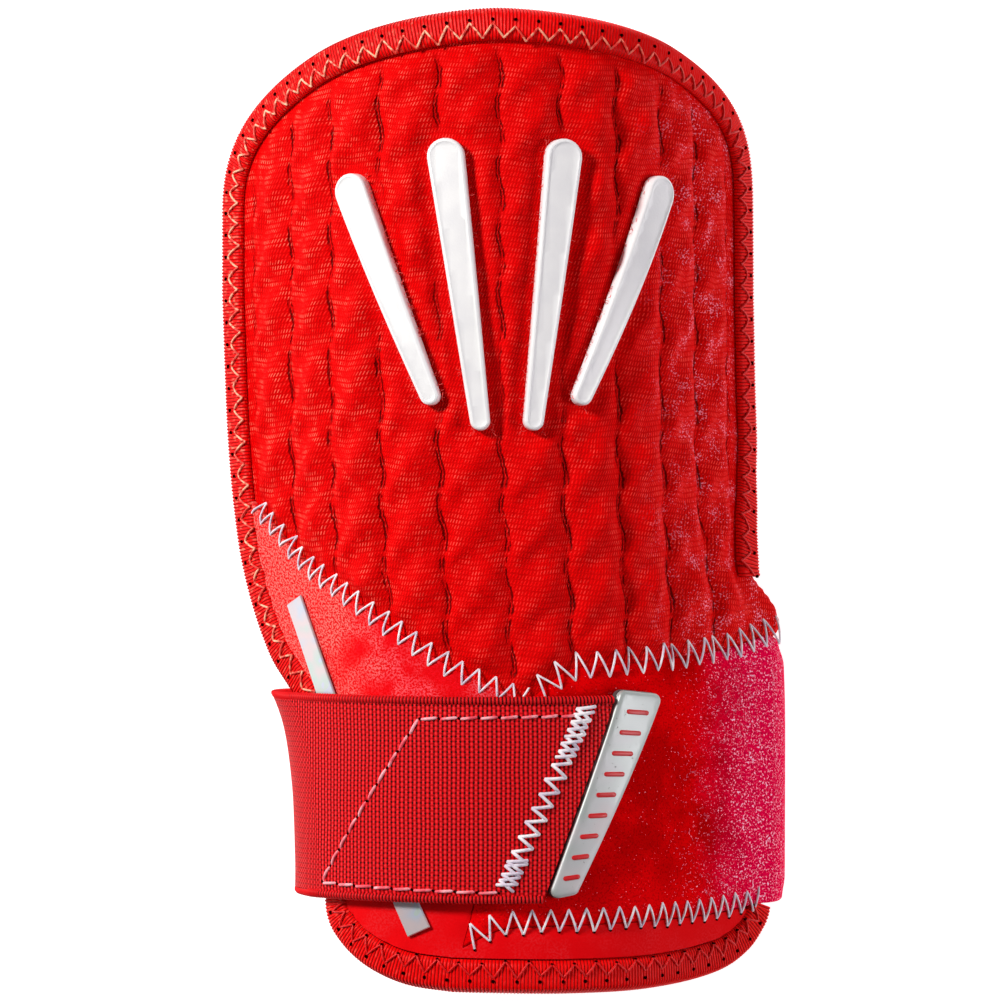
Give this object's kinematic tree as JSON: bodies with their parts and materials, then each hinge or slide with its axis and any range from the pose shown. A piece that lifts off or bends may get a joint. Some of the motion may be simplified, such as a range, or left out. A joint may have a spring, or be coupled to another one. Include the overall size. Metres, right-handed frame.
{
  "type": "batting hand protector",
  "caption": "Quilted, knit-covered pad for the back of the batting hand, with a taped edge, moulded ribs, and an elastic wrist strap that closes on a velour band with a slanted pull tab.",
  "frame": {"origin": "bottom centre of the bounding box, where the guard lies on its wrist strap and taped sides", "axes": "+Y from the wrist end to the knuckle end, +Z out from the back of the hand, +X towards the velour band's side"},
  "size_m": [0.103, 0.1742, 0.0454],
  "materials": {
    "red_knit": "bright red warp-knit spacer cloth over foam, quilted in columns",
    "red_tape": "red ribbed binding tape with zigzag stitching",
    "coral_cloth": "smooth coral red stretch cloth with fine darker specks",
    "pearl_film": "pearly pale grey transfer film",
    "red_velour": "deep red brushed loop cloth with pale fibres at the right",
    "red_elastic": "woven red elastic with ribbed rolled edges",
    "silver_moulding": "silver moulded plastic with a slight pearly shift",
    "white_moulding": "white moulded rubbery plastic, satin"
  },
  "bodies": {
    "root": {"quilted_pad": "red_knit", "edge_binding": "red_tape", "side_panel": "coral_cloth", "reflective_stripe": "pearl_film", "wrist_band": "red_velour", "elastic_strap": "red_elastic", "pull_tab": "silver_moulding", "rib_1": "white_moulding", "rib_2": "white_moulding", "rib_3": "white_moulding", "rib_4": "white_moulding"}
  },
  "joints": []
}
